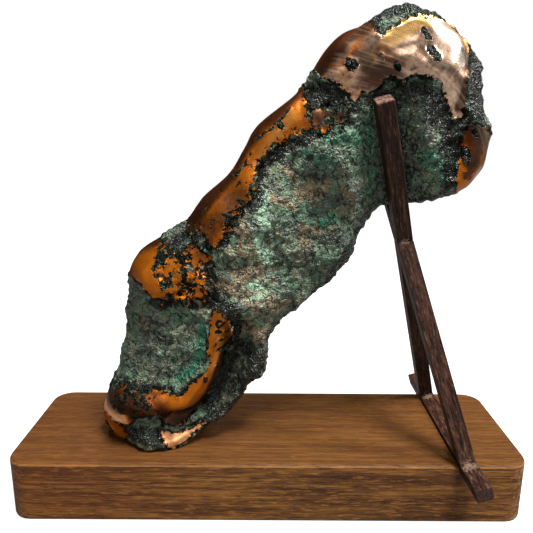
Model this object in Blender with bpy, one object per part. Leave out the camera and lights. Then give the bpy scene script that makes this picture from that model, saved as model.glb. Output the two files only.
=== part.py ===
"""A native copper nugget that stands on a wooden block and leans in a prop of two crossed sticks.

Metres, +Z up. The origin is the middle of the block's underside. +X runs along the block to the
right, towards the prop, and +Y runs to the back. Named sizes below are in millimetres.
"""

import math

import bmesh
import bpy
import numpy as np
from mathutils import Matrix, Vector, noise

MM = 0.001
GAP = 0.3  # clearance that touching pieces keep
ROUNDED_ANGLE = math.radians(40)  # edges that turn more than this are rounded

# Wooden block
BLOCK_LENGTH = 254.0
BLOCK_DEPTH = 76.0
BLOCK_HEIGHT = 31.2
BLOCK_CORNER_RADIUS = 10.0
BLOCK_CORNER_STEPS = 6
BLOCK_EDGE_ROUND = 1.3

# Prop: a flat frame of two crossed sticks and a bar, leaning towards the nugget
PROP_LEAN = math.radians(16.3)
BAR_TOP = (94.95, 34.5)  # X and Z of the middle of the bar's top face
BAR_LENGTH = 120.0
BAR_WIDTH = 7.8
BAR_THICKNESS = 6.5
STICK = 7.6  # side of each square stick
CROSSING_Y = -9.5
CROSSING_HEIGHT = 106.0  # from the bar's top, up the leaning frame
FRONT_FOOT_ANGLE = math.radians(14.4)  # from upright, the stick that rises from the front foot
BACK_FOOT_ANGLE = math.radians(22.4)
FRONT_FOOT_STICK_REACH = 70.0  # beyond the crossing
BACK_FOOT_STICK_REACH = 71.5
STICK_EDGE_ROUND = 0.35

# Nugget
FOOT_LEVEL = BLOCK_HEIGHT + GAP
MID_PLANE_Y = -4.0  # the nugget's middle, where it stands
MID_PLANE_LEAN = -0.055  # how far the middle moves in Y for each millimetre of height
SEGMENTS = 54
RING_STEPS = 3  # rings for each step between two stations
SECTION_POWER = 2.3  # 2 is an ellipse, more is squarer
THICK_LEFT = 0.18  # how much the left side is thicker than the right
PROP_CLEARANCE = 0.5  # between the nugget and the arms that hold it
PINCH_WIDTH = (6.0, 20.0)  # full pinch out to the first, none past the second, from the prop's plane
PINCH_ABOVE_ARMS = 10.0
PINCH_SOFTNESS = 1.2

# Lumps and hollows: height (a hollow's is negative), half width, and the X and Z points of the line
# that each follows over the face it is on.
FRONT_FORMS = [
    # Shoulder along the upper left edge, and the valley beside it
    (3.4, 8.0, [(-26, 153), (-15, 171), (-5, 184), (10, 197)]),
    (-2.4, 8.0, [(-12, 158), (2, 176), (22, 189)]),
    # Dip before the knuckle, and the knuckle
    (-3.4, 8.0, [(-40, 142), (-28, 130)]),
    (4.5, 13.0, [(-62, 127), (-55, 115)]),
    (-2.0, 8.0, [(-68, 104), (-50, 102)]),
    # Fold down the middle
    (3.6, 8.0, [(-6, 161), (-3, 150), (-13, 134), (-16, 116), (-8, 106)]),
    (-2.6, 12.0, [(12, 125), (18, 140), (22, 158)]),
    (2.4, 9.0, [(34, 134), (44, 160)]),
    (2.0, 9.0, [(20, 186), (34, 176), (30, 164)]),
    # Flat hollow of the lower body
    (-3.4, 20.0, [(-52, 94), (-50, 78)]),
    # Raised strip that bounds it, and the deep channel beside the strip
    (5.5, 6.5, [(-22, 105), (-25, 90), (-27, 77), (-35, 63), (-44, 55), (-58, 55), (-74, 61)]),
    (-10.0, 7.0, [(-15, 92), (-17, 77), (-22, 64), (-29, 54), (-37, 47), (-48, 45)]),
    # Cut-back corner of the foot, its lip, and the flange on the right
    (-5.0, 12.0, [(-84, 26), (-77, 34)]),
    (1.4, 9.0, [(-50, 26), (-46, 34)]),
    (4.5, 6.0, [(-64, 35), (-50, 33), (-38, 38), (-27, 46), (-18, 55)]),
    (4.5, 9.0, [(-6, 88), (-4, 74)]),
    # Head: dome, crest, step under the dome, ear and the hollow inside it
    (5.5, 24.0, [(42, 213), (66, 218)]),
    (3.0, 7.0, [(43, 231), (60, 235)]),
    (-3.4, 7.0, [(18, 201), (34, 203), (50, 201), (66, 203), (76, 194)]),
    (4.0, 7.0, [(92, 187), (91, 176), (86, 165)]),
    (-3.4, 8.0, [(80, 188), (78, 168)]),
    (2.0, 10.0, [(56, 186), (66, 170)]),
]
BACK_FORMS = [
    (4.0, 9.0, [(-62, 100), (-48, 128), (-24, 146)]),
    (-3.4, 13.0, [(-32, 96), (-22, 120)]),
    (4.0, 14.0, [(10, 158), (24, 170)]),
    (-4.0, 9.0, [(2, 140), (26, 134)]),
    (5.0, 20.0, [(60, 212), (78, 206)]),
    (-3.4, 8.0, [(24, 196), (40, 206), (48, 226)]),
    (3.6, 8.0, [(-78, 50), (-58, 58), (-36, 52)]),
    (-3.6, 8.0, [(-64, 76), (-38, 72)]),
    (3.4, 8.0, [(-4, 112), (10, 122), (30, 128)]),
    (-3.0, 9.0, [(74, 172), (88, 186)]),
    (3.0, 8.0, [(-10, 172), (8, 190)]),
    (3.0, 9.0, [(-20, 66), (-8, 84)]),
]
FORM_STEEPNESS = 2.8  # 2 is a soft hump, more has a flatter top and steeper sides
FORM_LINE_STEPS = 8  # straight pieces between two points of a line
FACING = (0.0, 0.5)  # none of a form where the surface turns edge-on, all of it past the second
# Uneven crust: size of the lumps and how far they stand out
CRUST_LUMPS = [(18.0, 1.6), (8.0, 1.2)]
EDGE_CRUST = 0.3  # share of that height at the nugget's edges

# Stations up the nugget: left edge X and Z, right edge X and Z, half depth in front and behind.
STATIONS = [
    (-74.0, 25.0, -48.0, 24.5, 12.0, 9.0),
    (-82.5, 28.5, -38.5, 29.5, 17.5, 14.0),
    (-86.0, 35.0, -29.5, 37.0, 19.5, 16.0),
    (-86.3, 44.0, -21.0, 44.5, 20.0, 17.0),
    (-84.0, 53.7, -14.5, 51.5, 19.0, 17.5),
    (-79.8, 63.0, -9.2, 59.3, 18.5, 17.5),
    (-75.4, 73.0, -2.0, 66.8, 18.0, 17.0),
    (-73.0, 83.0, -0.2, 75.0, 17.5, 17.0),
    (-71.0, 92.5, 0.8, 84.5, 17.0, 16.5),
    (-71.2, 101.0, 5.5, 94.0, 17.0, 16.5),
    (-68.6, 110.0, 15.4, 101.4, 17.5, 16.5),
    (-67.8, 120.0, 26.2, 112.5, 18.0, 16.5),
    (-62.6, 130.0, 35.2, 121.8, 18.0, 16.5),
    (-50.5, 138.0, 40.5, 129.0, 18.0, 16.5),
    (-39.6, 145.0, 42.5, 138.0, 17.5, 16.5),
    (-31.8, 156.2, 47.0, 146.5, 17.0, 16.0),
    (-20.2, 166.2, 54.0, 152.3, 16.5, 15.5),
    (-12.4, 177.3, 62.5, 153.8, 16.5, 15.5),
    (-5.4, 189.6, 74.0, 155.0, 17.0, 16.0),
    (7.2, 199.2, 84.0, 157.6, 18.0, 17.0),
    (15.2, 206.2, 92.4, 162.2, 19.0, 18.0),
    (20.0, 214.5, 97.8, 170.4, 19.5, 18.5),
    (24.8, 222.2, 99.6, 181.5, 19.5, 18.5),
    (31.5, 228.0, 97.0, 191.5, 19.0, 18.0),
    (39.5, 231.0, 94.2, 201.0, 17.5, 17.0),
    (46.5, 235.0, 92.8, 210.0, 15.0, 14.5),
    (53.0, 238.6, 89.0, 219.6, 11.0, 11.0),
    (60.0, 238.0, 80.0, 228.0, 6.0, 6.0),
]


def material(name, color, roughness, metallic=0.0):
    made = bpy.data.materials.new(name)
    made.use_nodes = True
    shader = made.node_tree.nodes["Principled BSDF"]
    shader.inputs["Base Color"].default_value = (*color, 1.0)
    shader.inputs["Roughness"].default_value = roughness
    shader.inputs["Metallic"].default_value = metallic
    return made


def mesh_object(name, shape, finish, parent=None):
    """Turns a bmesh in millimetres into an object in metres."""
    bmesh.ops.recalc_face_normals(shape, faces=shape.faces)
    mesh = bpy.data.meshes.new(name)
    shape.to_mesh(mesh)
    shape.free()
    mesh.transform(Matrix.Scale(MM, 4))
    made = bpy.data.objects.new(name, mesh)
    made.parent = parent
    if finish:
        made.data.materials.append(finish)
    bpy.context.scene.collection.objects.link(made)
    return made


def box_shape(low, high):
    """A bmesh box between two corners."""
    shape = bmesh.new()
    bmesh.ops.create_cube(shape, size=1.0)
    low, high = Vector(low), Vector(high)
    place = Matrix.LocRotScale((low + high) / 2, None, high - low)
    bmesh.ops.transform(shape, matrix=place, verts=shape.verts)
    return shape


def soften_edges(made, width, segments):
    bevel = made.modifiers.new("edge round", "BEVEL")
    bevel.width = width * MM
    bevel.segments = segments
    bevel.limit_method = "ANGLE"
    bevel.angle_limit = ROUNDED_ANGLE


def cut(made, cutter):
    cutter.hide_render = True
    cutter.display_type = "WIRE"
    boolean = made.modifiers.new("cut " + cutter.name, "BOOLEAN")
    boolean.operation = "DIFFERENCE"
    boolean.object = cutter


def prop_frame():
    """An empty at the middle of the bar's top face. Its Z runs up the leaning frame, its X out of it."""
    empty = bpy.data.objects.new("prop_frame", None)
    empty.location = Vector((BAR_TOP[0], 0.0, BAR_TOP[1])) * MM
    empty.rotation_euler = (0.0, -PROP_LEAN, 0.0)
    bpy.context.scene.collection.objects.link(empty)
    return empty


def make_block(finish, prop):
    half_length = BLOCK_LENGTH / 2 - BLOCK_CORNER_RADIUS
    half_depth = BLOCK_DEPTH / 2 - BLOCK_CORNER_RADIUS
    outline = []
    for corner, (sign_x, sign_y) in enumerate([(1, 1), (-1, 1), (-1, -1), (1, -1)]):
        for step in range(BLOCK_CORNER_STEPS + 1):
            angle = math.radians(90) * (corner + step / BLOCK_CORNER_STEPS)
            x = sign_x * half_length + BLOCK_CORNER_RADIUS * math.cos(angle)
            y = sign_y * half_depth + BLOCK_CORNER_RADIUS * math.sin(angle)
            outline.append((x, y, 0.0))
    shape = bmesh.new()
    bottom = shape.faces.new([shape.verts.new(point) for point in outline])
    raised = bmesh.ops.extrude_face_region(shape, geom=[bottom])["geom"]
    top = [item for item in raised if isinstance(item, bmesh.types.BMVert)]
    bmesh.ops.translate(shape, verts=top, vec=(0.0, 0.0, BLOCK_HEIGHT))
    block = mesh_object("base_block", shape, finish)
    soften_edges(block, BLOCK_EDGE_ROUND, 2)

    half = BAR_WIDTH / 2 + GAP
    groove = box_shape(
        (-half, -BLOCK_DEPTH, -BAR_THICKNESS - GAP), (half, BLOCK_DEPTH, BAR_THICKNESS)
    )
    cut(block, mesh_object("groove_cutter", groove, None, prop))
    return block


def make_foot_bar(finish, prop):
    shape = box_shape(
        (-BAR_WIDTH / 2, -BAR_LENGTH / 2, -BAR_THICKNESS), (BAR_WIDTH / 2, BAR_LENGTH / 2, 0.0)
    )
    bar = mesh_object("foot_bar", shape, finish, prop)
    soften_edges(bar, STICK_EDGE_ROUND, 2)
    return bar


def stick_directions():
    """Unit vectors in the frame's own X, Y, Z: up each stick from its foot."""
    from_front = Vector((0.0, math.sin(FRONT_FOOT_ANGLE), math.cos(FRONT_FOOT_ANGLE)))
    from_back = Vector((0.0, -math.sin(BACK_FOOT_ANGLE), math.cos(BACK_FOOT_ANGLE)))
    return from_front, from_back


def bar_along(direction, low, high, half_x, half_side):
    """A box along a direction through the crossing. half_x gives its low and high X."""
    side = Vector((1.0, 0.0, 0.0)).cross(direction)
    shape = box_shape((half_x[0], -half_side, low), (half_x[1], half_side, high))
    turn = Matrix((Vector((1.0, 0.0, 0.0)), -side, direction)).transposed().to_4x4()
    crossing = Vector((0.0, CROSSING_Y, CROSSING_HEIGHT))
    bmesh.ops.transform(shape, matrix=Matrix.Translation(crossing) @ turn, verts=shape.verts)
    return shape


def make_stick(name, direction, other, reach, halved_side, finish, prop):
    """A square stick cut flat on the bar and halved where the other one crosses it."""
    half = STICK / 2
    below = CROSSING_HEIGHT / direction.z + STICK
    stick = mesh_object(
        name, bar_along(direction, -below, reach, (-half, half), half), finish, prop
    )
    soften_edges(stick, STICK_EDGE_ROUND, 1)
    foot = box_shape((-STICK, -BAR_LENGTH, -4 * STICK), (STICK, BAR_LENGTH, GAP))
    cut(stick, mesh_object(name + "_foot_cutter", foot, None, prop))
    lap = (-GAP / 2, STICK) if halved_side > 0 else (-STICK, GAP / 2)
    notch = bar_along(other, -2 * STICK, 2 * STICK, lap, half + GAP)
    cut(stick, mesh_object(name + "_lap_cutter", notch, None, prop))
    return stick


def smooth_path(values, steps):
    """Reads a Catmull-Rom curve through the rows of values, steps rows for each step."""
    points = np.array(values)
    padded = np.vstack([2 * points[0] - points[1], points, 2 * points[-1] - points[-2]])
    rows = []
    for index in range(1, len(padded) - 2):
        before, start, end, after = padded[index - 1 : index + 3]
        for step in range(steps):
            t = step / steps
            rows.append(
                0.5
                * (
                    2 * start
                    + (end - before) * t
                    + (2 * before - 5 * start + 4 * end - after) * t**2
                    + (3 * start - before - 3 * end + after) * t**3
                )
            )
    rows.append(points[-1])
    return np.array(rows)


def section_ring(row):
    """One closed ring of points round the nugget, through its left and right edge."""
    left = np.array([row[0], row[1]])
    right = np.array([row[2], row[3]])
    angles = np.arange(SEGMENTS) * 2 * math.pi / SEGMENTS
    across = -np.sign(np.cos(angles)) * np.abs(np.cos(angles)) ** (2 / SECTION_POWER)
    deep = np.sign(np.sin(angles)) * np.abs(np.sin(angles)) ** (2 / SECTION_POWER)
    deep = deep * (1 - THICK_LEFT * across)
    flat = (left + right) / 2 + np.outer(across, (right - left) / 2)
    middle = MID_PLANE_Y + MID_PLANE_LEAN * (flat[:, 1] - BLOCK_HEIGHT)
    y = middle + np.where(deep > 0, deep * row[5], deep * row[4])
    return np.column_stack([flat[:, 0], y, flat[:, 1]])


def nugget_body():
    """Rings of the plain body and the faces that join them."""
    rows = smooth_path(STATIONS, RING_STEPS)
    rings = [section_ring(row) for row in rows]
    points = np.vstack(rings + [rings[0].mean(axis=0), rings[-1].mean(axis=0)])
    bottom, top = len(points) - 2, len(points) - 1
    last = (len(rings) - 1) * SEGMENTS
    faces = []
    for segment in range(SEGMENTS):
        beside = (segment + 1) % SEGMENTS
        for ring in range(len(rings) - 1):
            base = ring * SEGMENTS
            faces.append(
                (base + beside, base + segment, base + SEGMENTS + segment, base + SEGMENTS + beside)
            )
        faces.append((bottom, segment, beside))
        faces.append((top, last + beside, last + segment))
    return points, faces


def point_normals(points, faces):
    """Outward directions at the points of a mesh of triangles and quads."""
    normals = np.zeros_like(points)
    for face in faces:
        corners = points[list(face)]
        across = np.cross(corners[2] - corners[0], corners[-1] - corners[1])
        normals[list(face)] += across
    return normals / np.linalg.norm(normals, axis=1)[:, None]


def distance_to_line(flat, line):
    """How far each X, Z point is from a smooth line through a few points."""
    path = smooth_path(line, FORM_LINE_STEPS)
    nearest = np.full(len(flat), np.inf)
    for start, end in zip(path[:-1], path[1:]):
        run = end - start
        along = np.clip((flat - start) @ run / (run @ run), 0, 1)
        nearest = np.minimum(nearest, np.linalg.norm(flat - start - np.outer(along, run), axis=1))
    return nearest


def smooth_step(low, high, value):
    t = np.clip((value - low) / (high - low), 0, 1)
    return t * t * (3 - 2 * t)


def forms_height(points, normals, forms, side):
    """How far the lumps and hollows of one face stand out, in Y. side is -1 in front, 1 behind."""
    facing = smooth_step(*FACING, side * normals[:, 1])
    height = np.zeros(len(points))
    for rise, half_width, line in forms:
        distance = distance_to_line(points[:, [0, 2]], line)
        height += rise * np.exp(-((distance / half_width) ** FORM_STEEPNESS))
    return height * facing


def crust_height(points, normals):
    height = np.zeros(len(points))
    for index, point in enumerate(points):
        for size, rise in CRUST_LUMPS:
            height[index] += rise * noise.noise(Vector(point) / size)
    return height * (EDGE_CRUST + (1 - EDGE_CRUST) * np.abs(normals[:, 1]))


def keep_off_prop(points):
    """Pinches the edge that sits in the crutch, so that it stays between the two arms."""
    lean = Matrix.Rotation(-PROP_LEAN, 3, "Y")
    turned = (points - np.array([BAR_TOP[0], 0, BAR_TOP[1]])) @ np.array(lean)
    above = turned[:, 2] - CROSSING_HEIGHT
    clear = STICK / 2 + PROP_CLEARANCE
    front = CROSSING_Y - math.tan(BACK_FOOT_ANGLE) * above + clear / math.cos(BACK_FOOT_ANGLE)
    back = CROSSING_Y + math.tan(FRONT_FOOT_ANGLE) * above - clear / math.cos(FRONT_FOOT_ANGLE)
    near = 1 - smooth_step(*PINCH_WIDTH, np.abs(turned[:, 0]))
    top = BACK_FOOT_STICK_REACH
    near = near * (1 - smooth_step(top, top + PINCH_ABOVE_ARMS, above))
    too_far_forward = np.logaddexp(0, (front - points[:, 1]) / PINCH_SOFTNESS) * PINCH_SOFTNESS
    too_far_back = np.logaddexp(0, (points[:, 1] - back) / PINCH_SOFTNESS) * PINCH_SOFTNESS
    points[:, 1] += near * (too_far_forward - too_far_back)


def make_nugget(finish):
    points, faces = nugget_body()
    normals = point_normals(points, faces)
    forward = forms_height(points, normals, FRONT_FORMS, -1)
    backward = forms_height(points, normals, BACK_FORMS, 1)
    points += normals * crust_height(points, normals)[:, None]
    points[:, 1] += backward - forward
    keep_off_prop(points)
    points[:, 2] = np.maximum(points[:, 2], FOOT_LEVEL)
    shape = bmesh.new()
    verts = [shape.verts.new(point) for point in points]
    for face in faces:
        shape.faces.new([verts[index] for index in face])
    nugget = mesh_object("nugget", shape, finish)
    nugget.data.shade_smooth()
    return nugget


def main():
    for leftover in list(bpy.data.objects):
        bpy.data.objects.remove(leftover, do_unlink=True)
    copper = material("copper", (0.42, 0.24, 0.13), 0.45, 0.8)
    block_wood = material("block_wood", (0.30, 0.15, 0.06), 0.5)
    dark_wood = material("dark_wood", (0.07, 0.035, 0.025), 0.5)
    prop = prop_frame()
    make_block(block_wood, prop)
    make_foot_bar(dark_wood, prop)
    from_front, from_back = stick_directions()
    make_stick(
        "front_foot_stick", from_front, from_back, FRONT_FOOT_STICK_REACH, 1, dark_wood, prop
    )
    make_stick(
        "back_foot_stick", from_back, from_front, BACK_FOOT_STICK_REACH, -1, dark_wood, prop
    )
    make_nugget(copper)


main()
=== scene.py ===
"""The finish of a native copper nugget that stands on a wooden block and leans in a prop of sticks.

Places and sizes are millimetres in the frame, apart from what is handed to Blender, in metres.
"""

import math

import bmesh
import bpy
import numpy as np
from mathutils import Matrix, Vector, noise
from mathutils.bvhtree import BVHTree


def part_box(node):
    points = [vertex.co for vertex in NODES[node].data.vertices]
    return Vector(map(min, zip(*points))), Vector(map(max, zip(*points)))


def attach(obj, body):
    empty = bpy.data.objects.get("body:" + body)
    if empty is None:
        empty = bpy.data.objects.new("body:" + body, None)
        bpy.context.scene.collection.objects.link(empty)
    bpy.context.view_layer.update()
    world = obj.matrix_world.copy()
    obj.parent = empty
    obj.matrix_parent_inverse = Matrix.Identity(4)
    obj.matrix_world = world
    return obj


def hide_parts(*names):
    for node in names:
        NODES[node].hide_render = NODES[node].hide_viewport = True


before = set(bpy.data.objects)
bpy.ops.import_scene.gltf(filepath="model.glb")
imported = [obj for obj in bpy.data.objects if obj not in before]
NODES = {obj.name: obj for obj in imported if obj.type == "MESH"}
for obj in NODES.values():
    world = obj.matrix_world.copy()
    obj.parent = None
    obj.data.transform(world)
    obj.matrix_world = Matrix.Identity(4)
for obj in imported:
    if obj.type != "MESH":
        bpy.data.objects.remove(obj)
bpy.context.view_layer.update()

MM = 0.001

# Nugget's mesh
SKIN_GRID = 0.86  # side of its squares
SKIN_SMOOTHING = 14  # rounds that take the facets off the solid
POLISH_SMOOTHING = 90  # more rounds where the copper is polished
EASE_IN = 0.6  # how far towards the middle of its neighbours a point moves in a round
EASE_OUT = -0.62  # and back out again, which keeps the volume
FRONT_FADE = (-0.25, 0.25)  # the front's patches give way to the back's over this range of the normal's Y
BLOCK_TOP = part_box("base_block")[1][2] / MM
FOOT_CLEARANCE = 0.08
STICK_CLEARANCE = 0.15
STICK_MARGIN = 3.0  # points this near to a stick's box are tested against the stick

# Crust's relief: the height and the size of each kind of form
LUMPS = (0.8, 8.0)
FOLDS = (1.3, 6.0)
PEBBLES = (1.1, 3.2)
GRAIN = (0.7, 2.1)
FOLD_LEVEL = 0.22  # the usual size of the noise that makes the folds, so that they average to nothing
FOLD_SHIFT = 40.0  # sets the folds apart from the lumps
PEBBLE_LEVEL = 0.45  # the usual distance from a pebble's middle
POLISHED_BORDER = (-0.4, 0.4)  # the relief fades out over this range of the polish measure
POLISH_SUNK = 0.25  # depth of the polished copper below the crust's middle level

# Polished patches: raggedness of the border, fullness of the copper inside (0 is half crust), and the
# X and Z points of the outline on that face
FRONT_POLISHED = [
    # Dome of the head
    (1.6, 1.5, [
        (22, 209), (19, 213), (20, 217), (23, 221), (27, 226), (31, 229), (36, 231), (41, 231),
        (42, 225), (44, 223), (47, 225), (49, 227), (53, 229), (57, 231), (62, 232), (69, 231),
        (75, 229), (79, 225), (82, 221), (84, 217), (83, 213), (81, 208), (83, 201), (83, 193),
        (79, 193), (76, 197), (73, 202), (70, 205), (65, 207), (59, 208), (56, 206), (52, 205),
        (47, 206), (43, 203), (37, 202), (33, 203), (29, 205), (25, 207),
    ]),
    (1.2, 1.5, [(34, 203), (37, 203), (37, 200), (35, 198), (34, 200)]),
    (4.5, 0.0, [(20, 194), (25, 195), (30, 193), (29, 190), (23, 188), (19, 189)]),
    # Ear on the right of the head
    (1.8, 1.5, [
        (87, 190), (92, 189), (98, 185), (101, 178), (101, 171), (95, 163), (86, 159), (84, 167),
        (83, 172), (85, 176), (84, 182), (84, 186),
    ]),
    # Shoulder along the upper left edge
    (4.2, 0.8, [
        (13, 205), (14, 201), (15, 195), (17, 193), (16, 190), (13, 187), (9, 185), (4, 183), (1, 180),
        (-2, 177), (-5, 174), (-7, 170), (-7, 165), (-10, 164), (-17, 172), (-19, 178), (-12, 188),
        (-6, 195), (0, 199), (7, 204),
    ]),
    (4.4, 0.5, [
        (-8, 162), (-11, 157), (-14, 153), (-19, 150), (-19, 145), (-23, 139), (-26, 138), (-29, 142),
        (-31, 144), (-36, 142), (-38, 146), (-38, 152), (-32, 160), (-24, 167), (-19, 174), (-13, 174),
        (-7, 169),
    ]),
    (4.0, 0.3, [(-33, 135), (-26, 130), (-27, 127), (-35, 126), (-37, 132)]),
    # Knuckle
    (1.8, 1.5, [
        (-53, 138), (-51, 132), (-52, 127), (-54, 125), (-51, 121), (-49, 117), (-47, 112), (-49, 110),
        (-54, 113), (-57, 116), (-60, 119), (-64, 120), (-70, 121), (-70, 128), (-64, 134), (-58, 138),
    ]),
    (7.0, -0.1, [
        (-51, 132), (-44, 128), (-38, 125), (-31, 121), (-29, 114), (-34, 112), (-41, 114), (-47, 112),
        (-51, 120),
    ]),
    # Strip round the lower body, and the band over the foot
    (1.5, 1.5, [
        (-25, 105), (-20, 103), (-18, 97), (-18, 89), (-19, 84), (-22, 80), (-23, 73), (-26, 68),
        (-30, 58), (-34, 50), (-38, 47), (-41, 44), (-45, 41), (-50, 41), (-53, 44), (-53, 54),
        (-57, 58), (-54, 62), (-49, 61), (-43, 60), (-40, 63), (-36, 68), (-32, 71), (-28, 76),
        (-27, 81), (-28, 85), (-28, 91), (-27, 98),
    ]),
    (3.5, 0.0, [
        (-53, 54), (-61, 51), (-68, 49), (-77, 52), (-81, 54), (-78, 61), (-70, 64), (-64, 61),
        (-58, 61), (-54, 62), (-48, 61),
    ]),
    # Heel and the rim of the foot
    (1.4, 1.5, [
        (-89, 57), (-81, 56), (-79, 52), (-76, 50), (-68, 49), (-68, 45), (-73, 43), (-78, 43),
        (-81, 46), (-85, 45), (-90, 48),
    ]),
    (2.2, 0.6, [
        (-90, 46), (-81, 46), (-79, 43), (-72, 41), (-72, 35), (-78, 30), (-85, 28), (-90, 36),
    ]),
    (1.4, 1.5, [
        (-54, 41), (-48, 39), (-42, 39), (-37, 41), (-33, 42), (-31, 42), (-38, 39), (-40, 36),
        (-44, 34), (-47, 32), (-50, 35), (-53, 38),
    ]),
]
BACK_POLISHED = [
    # Dome and ear
    (2.4, 1.1, [
        (8, 208), (16, 218), (24, 227), (34, 232), (41, 228), (47, 232), (60, 235), (74, 232),
        (85, 222), (88, 208), (82, 203), (77, 207), (70, 199), (62, 204), (56, 196), (49, 202),
        (42, 197), (35, 205), (27, 200), (20, 206),
    ]),
    (4.0, 0.1, [(58, 200), (66, 202), (72, 196), (67, 188), (59, 190)]),
    (3.0, 0.4, [
        (100, 188), (104, 176), (99, 165), (92, 164), (90, 170), (94, 177), (89, 183), (93, 189),
    ]),
    # Shoulder
    (2.8, 0.7, [
        (-24, 172), (-14, 184), (-4, 194), (6, 204), (12, 203), (11, 195), (3, 193), (1, 184),
        (-6, 184), (-8, 175), (-14, 173), (-14, 165), (-21, 160), (-29, 156),
    ]),
    (4.0, 0.2, [(-42, 148), (-34, 160), (-26, 165), (-23, 158), (-28, 152), (-26, 145), (-35, 141)]),
    # Knuckle
    (2.4, 0.7, [
        (-74, 122), (-70, 132), (-60, 141), (-52, 139), (-49, 133), (-53, 126), (-57, 124), (-56, 117),
        (-65, 114),
    ]),
    (6.0, 0.0, [(-53, 136), (-43, 130), (-38, 122), (-47, 115), (-57, 113)]),
    # Heel, and a worn place in the middle
    (2.4, 0.7, [
        (-94, 54), (-84, 59), (-75, 55), (-66, 61), (-57, 55), (-62, 49), (-70, 51), (-76, 44),
        (-69, 38), (-80, 32), (-94, 36),
    ]),
    (5.0, 0.0, [
        (-19, 99), (-10, 108), (-3, 106), (5, 114), (13, 127), (6, 131), (-4, 120), (-13, 118),
        (-21, 108),
    ]),
]
POLISH_LIMIT = 1.5  # the polish measure runs from minus this, deep in crust, to this, deep in copper

# How much of the polish measure a spot of left crust takes off
CRUSTED_DEPTH = 2.4

# A higher number makes the edges of the stains crisper
STAIN_EDGE = 2.5

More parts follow.
